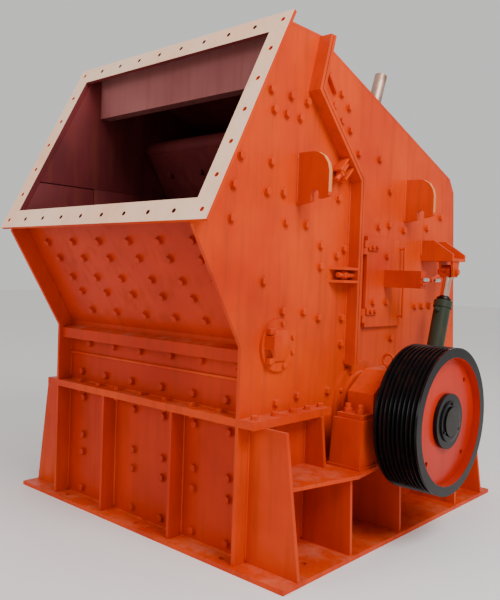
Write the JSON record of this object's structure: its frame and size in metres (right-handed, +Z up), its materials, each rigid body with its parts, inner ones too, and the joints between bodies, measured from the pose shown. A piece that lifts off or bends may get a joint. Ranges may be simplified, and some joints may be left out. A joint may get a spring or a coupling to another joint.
{
  "type": "impact crusher",
  "caption": "Horizontal-shaft impact crusher with a sloping feed mouth, a belt-driven rotor, a hinged rear housing opened by hydraulic cylinders and side access doors.",
  "frame": {"origin": "middle of the base plate's underside, on the floor", "axes": "+X towards the belt pulley, -Y towards the feed mouth, +Z up"},
  "size_m": [2.53, 2.8185, 2.7896],
  "materials": {
    "orange_paint": "gloss",
    "pale_primer": "satin",
    "oxide_red": "matte",
    "pulley_black": "gloss",
    "pulley_red": "gloss",
    "dark_steel": "satin",
    "cast_steel": "matte",
    "cylinder_green": "satin",
    "rod_steel": "polished"
  },
  "bodies": {
    "frame": {"base_plate": "orange_paint", "bearing_caps": "orange_paint", "bearing_pedestals": "orange_paint", "bearing_shelf_left": "orange_paint", "bearing_shelf_right": "orange_paint", "cylinder_feet": "orange_paint", "feed_base_flange": "orange_paint", "feed_beam": "oxide_red", "feed_flange": "pale_primer", "feed_lifting_hooks": "orange_paint", "feed_lower_panel": "orange_paint", "feed_roof": "orange_paint", "feed_side_wall_left": "orange_paint", "feed_side_wall_right": "orange_paint", "feed_slope_panel": "orange_paint", "feed_split_flanges": "orange_paint", "knee_beam": "orange_paint", "lower_back_panel": "orange_paint", "lower_flange": "orange_paint", "lower_front_panel": "orange_paint", "lower_side_wall_left": "orange_paint", "lower_side_wall_right": "orange_paint", "rear_hinge_ears": "orange_paint", "shaft_seals": "orange_paint", "side_covers": "orange_paint"},
    "rear_housing": {"rear_side_wall_right": "orange_paint", "rear_side_wall_left": "orange_paint", "rear_roof": "orange_paint", "rear_back_wall": "orange_paint", "rear_base_flange": "orange_paint", "rear_split_flanges": "orange_paint", "rear_lifting_hooks": "orange_paint", "rear_hinge_lugs": "orange_paint", "impact_apron": "oxide_red", "apron_tie_rods": "orange_paint", "door_hinges": "orange_paint", "cylinder_brackets": "orange_paint"},
    "door_right": {"access_door_right": "orange_paint", "door_clamp_right": "orange_paint"},
    "barrel_right": {"cylinder_barrel_right": "cylinder_green"},
    "rod_right": {"cylinder_rod_right": "rod_steel"},
    "door_left": {"access_door_left": "orange_paint", "door_clamp_left": "orange_paint"},
    "barrel_left": {"cylinder_barrel_left": "cylinder_green"},
    "rod_left": {"cylinder_rod_left": "rod_steel"},
    "rotor": {"rotor_shaft": "dark_steel", "rotor_body": "cast_steel", "blow_bars": "cast_steel", "pulley_rim": "pulley_black", "pulley_web": "pulley_red", "pulley_hub": "dark_steel"}
  },
  "joints": [
    {"name": "rotor_spin", "type": "hinge", "parent": "frame", "child": "rotor", "pos_m": [0, -0.06, 0.7], "axis": [1, 0, 0], "continuous": true},
    {"name": "rear_housing_open", "type": "hinge", "parent": "frame", "child": "rear_housing", "pos_m": [0, 1.325, 0.732], "axis": [-1, 0, 0], "range_deg": [0, 30]},
    {"name": "door_right_swing", "type": "hinge", "parent": "rear_housing", "child": "door_right", "pos_m": [0.814, -0.088, 1.4], "axis": [0, 0, -1], "range_deg": [0, 100]},
    {"name": "barrel_right_tilt", "type": "hinge", "parent": "frame", "child": "barrel_right", "pos_m": [0.955, 0.43, 0.52], "axis": [-1, 0, 0], "range_deg": [0, 18]},
    {"name": "rod_right_slide", "type": "slide", "parent": "barrel_right", "child": "rod_right", "axis": [0, 0.2829, 0.9591], "range_m": [0, 0.41]},
    {"name": "door_left_swing", "type": "hinge", "parent": "rear_housing", "child": "door_left", "pos_m": [-0.814, -0.088, 1.4], "axis": [0, 0, 1], "range_deg": [0, 100]},
    {"name": "barrel_left_tilt", "type": "hinge", "parent": "frame", "child": "barrel_left", "pos_m": [-0.955, 0.43, 0.52], "axis": [-1, 0, 0], "range_deg": [0, 18]},
    {"name": "rod_left_slide", "type": "slide", "parent": "barrel_left", "child": "rod_left", "axis": [0, 0.2829, 0.9591], "range_m": [0, 0.41]}
  ],
  "couplings": [
    {"joint": "barrel_right_tilt", "follows": "rear_housing_open", "ratio": 0.5475},
    {"joint": "rod_right_slide", "follows": "rear_housing_open", "m_per_rad": 0.736},
    {"joint": "barrel_left_tilt", "follows": "rear_housing_open", "ratio": 0.5475},
    {"joint": "rod_left_slide", "follows": "rear_housing_open", "m_per_rad": 0.736}
  ]
}
